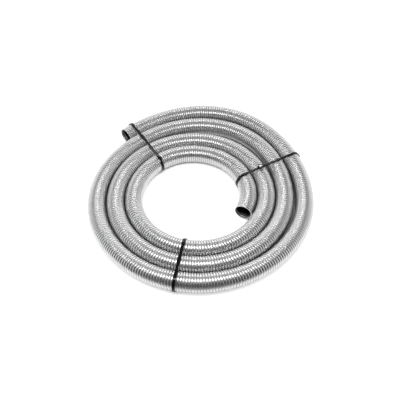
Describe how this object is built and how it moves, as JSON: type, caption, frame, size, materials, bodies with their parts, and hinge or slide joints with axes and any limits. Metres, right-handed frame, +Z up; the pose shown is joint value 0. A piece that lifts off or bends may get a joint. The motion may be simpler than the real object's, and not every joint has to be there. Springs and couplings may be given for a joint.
{
  "type": "flexible exhaust tubing",
  "caption": "Strip-wound steel exhaust hose, laid flat in a single-layer spiral coil with open ends and held by black cable ties.",
  "frame": {"origin": "centre of the coil's footprint, on the floor that it lies on", "axes": "+Z up from the floor, through the coil's thickness; +Y along the coil's longer width, away from the side that carries three turns under its tie; +X to the right of that, on the side where the inner mouth opens"},
  "size_m": [0.7014, 0.7634, 0.0672],
  "materials": {
    "galvanised_strip": "bright galvanised, ribbed",
    "tie_nylon": "glossy black nylon"
  },
  "bodies": {
    "root": {"hose_coil": "galvanised_strip", "hose_outer_end": "galvanised_strip", "hose_inner_end": "galvanised_strip", "tie_left": "tie_nylon", "tie_right": "tie_nylon", "tie_front": "tie_nylon"}
  },
  "joints": []
}
